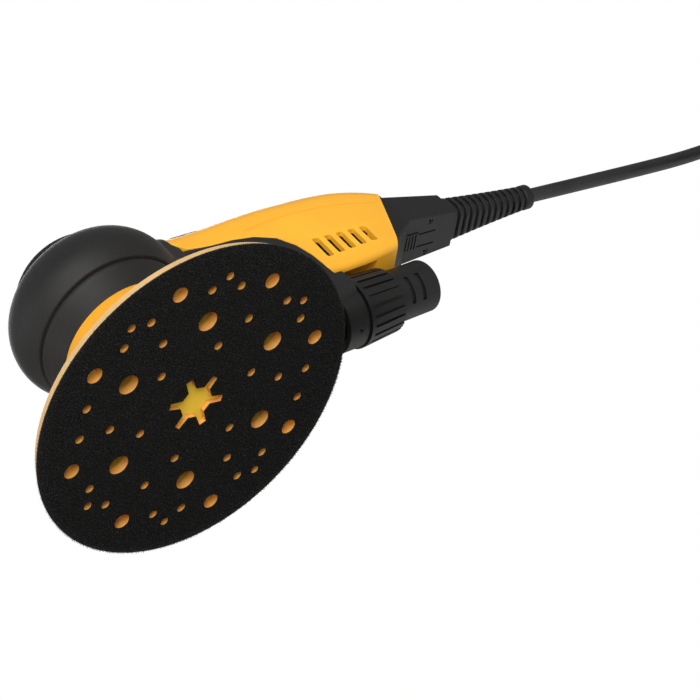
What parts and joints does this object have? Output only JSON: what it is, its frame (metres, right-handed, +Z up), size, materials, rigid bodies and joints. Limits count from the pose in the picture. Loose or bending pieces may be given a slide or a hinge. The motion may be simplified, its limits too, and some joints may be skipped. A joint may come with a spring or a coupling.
{
  "type": "random orbital sander",
  "caption": "Hand-held mains random orbital sander with a round multi-hole pad, palm-grip head, rear handle, swivelling dust exhaust and a detachable coiled mains cord.",
  "frame": {"origin": "on the motor spindle axis, in the plane of the pad's grip face, which is the plane the sander stands on", "axes": "+Z up along the spindle, +X along the handle towards the cord, +Y to the left of someone holding it from behind"},
  "size_m": [0.5447, 0.2384, 0.1022],
  "materials": {
    "boot_rubber": "soft matt moulded rubber",
    "cap_rubber": "matt rubber",
    "yellow_shroud": "fine moulded texture",
    "seal_rubber": "matt",
    "yellow_shell": "satin moulded plastic",
    "screw_steel": "zinc plated",
    "black_base": "soft matt",
    "pin_steel": "ground",
    "switch_plastic": "matt",
    "panel_plastic": "semi gloss",
    "lens_plastic": "clear green",
    "board_laminate": "lacquered",
    "component_plastic": "moulded",
    "port_plastic": "fine texture",
    "dark_screw": "black oxide",
    "bezel_plastic": "fine texture",
    "contact_brass": "plated",
    "connector_plastic": "fine texture",
    "relief_rubber": "moulded",
    "motor_aluminium": "die cast",
    "bearing_steel": "polished",
    "lamination_steel": "stacked sheet",
    "winding_copper": "enamelled copper",
    "cord_sheath": "satin sheath",
    "tie_rubber": "matt",
    "plug_plastic": "moulded",
    "plug_brass": "nickel plated",
    "shaft_steel": "ground",
    "weight_steel": "sintered",
    "fan_aluminium": "cast",
    "magnet_metal": "nickel coat",
    "hook_face": "dense micro hook pile",
    "foam": "cellular polyurethane",
    "yellow_pad": "moulded",
    "lever_plastic": "soft touch",
    "spring_steel": "sprung strip",
    "power_key": "soft key",
    "speed_key": "soft key",
    "latch_plastic": "moulded",
    "collar_plastic": "moulded ribs",
    "adapter_plastic": "fine texture"
  },
  "bodies": {
    "housing": {"head_boot": "boot_rubber", "head_cap": "cap_rubber", "shroud": "yellow_shroud", "pad_brake_ring": "seal_rubber", "handle_shell_right": "yellow_shell", "handle_shell_left": "yellow_shell", "shell_screws": "screw_steel", "handle_base": "black_base", "lever_pin": "pin_steel", "lever_switch": "switch_plastic", "key_panel": "panel_plastic", "status_lens": "lens_plastic", "control_board": "board_laminate", "board_components": "component_plastic", "exhaust_port": "port_plastic", "port_screw": "dark_screw", "exhaust_seal": "seal_rubber", "inlet_bezel": "bezel_plastic", "inlet_pins": "contact_brass", "cord_connector": "connector_plastic", "connector_screws": "dark_screw", "strain_relief": "relief_rubber", "motor_sleeve": "motor_aluminium", "motor_lid": "motor_aluminium", "lower_bearing": "bearing_steel", "upper_bearing": "bearing_steel", "stator_core": "lamination_steel", "stator_windings": "winding_copper", "mains_cord": "cord_sheath", "mains_cord_tail": "cord_sheath", "cord_coil": "cord_sheath", "cord_tie": "tie_rubber", "mains_plug": "plug_plastic", "mains_plug_pins": "plug_brass"},
    "spindle": {"eccentric_shaft": "shaft_steel", "pad_bearings": "bearing_steel", "counterweight": "weight_steel", "fan": "fan_aluminium", "rotor_core": "lamination_steel", "rotor_magnets": "magnet_metal"},
    "pad": {"grip_face": "hook_face", "pad_foam": "foam", "pad_plate": "yellow_pad", "pad_stud": "shaft_steel", "pad_spindle": "shaft_steel"},
    "lever": {"lever": "lever_plastic", "lever_spring": "spring_steel"},
    "power_key": {"power_button": "power_key"},
    "speed_up_key": {"speed_up_button": "speed_key"},
    "speed_down_key": {"speed_down_button": "speed_key"},
    "latch": {"latch_button": "latch_plastic"},
    "hose_swivel": {"exhaust_collar": "collar_plastic", "hose_adapter": "adapter_plastic"}
  },
  "joints": [
    {"name": "spindle_spin", "type": "hinge", "parent": "housing", "child": "spindle", "pos_m": [0, 0, 0], "axis": [0, 0, 1], "continuous": true},
    {"name": "pad_spin", "type": "hinge", "parent": "spindle", "child": "pad", "pos_m": [0.00193, -0.00159, 0], "axis": [0, 0, 1], "continuous": true},
    {"name": "lever_press", "type": "hinge", "parent": "housing", "child": "lever", "pos_m": [0.101, 0, 0.0928], "axis": [0, -1, 0], "range_deg": [0, 3], "stiffness_Nm_per_rad": 1.5, "springref_deg": -1.72},
    {"name": "power_press", "type": "slide", "parent": "housing", "child": "power_key", "axis": [-0.0802, 0, -0.9968], "range_m": [0, 0.001], "stiffness_N_per_m": 600, "springref_m": -0.0005},
    {"name": "speed_up_press", "type": "slide", "parent": "housing", "child": "speed_up_key", "axis": [-0.0802, 0, -0.9968], "range_m": [0, 0.001], "stiffness_N_per_m": 600, "springref_m": -0.0005},
    {"name": "speed_down_press", "type": "slide", "parent": "housing", "child": "speed_down_key", "axis": [-0.0802, 0, -0.9968], "range_m": [0, 0.001], "stiffness_N_per_m": 600, "springref_m": -0.0005},
    {"name": "latch_press", "type": "slide", "parent": "housing", "child": "latch", "axis": [0, 0, 1], "range_m": [0, 0.0014], "stiffness_N_per_m": 600, "springref_m": -0.0005},
    {"name": "hose_swivel_turn", "type": "hinge", "parent": "housing", "child": "hose_swivel", "pos_m": [0.0987, 0, 0.0258], "axis": [0.9974, 0, 0.0715], "continuous": true}
  ]
}
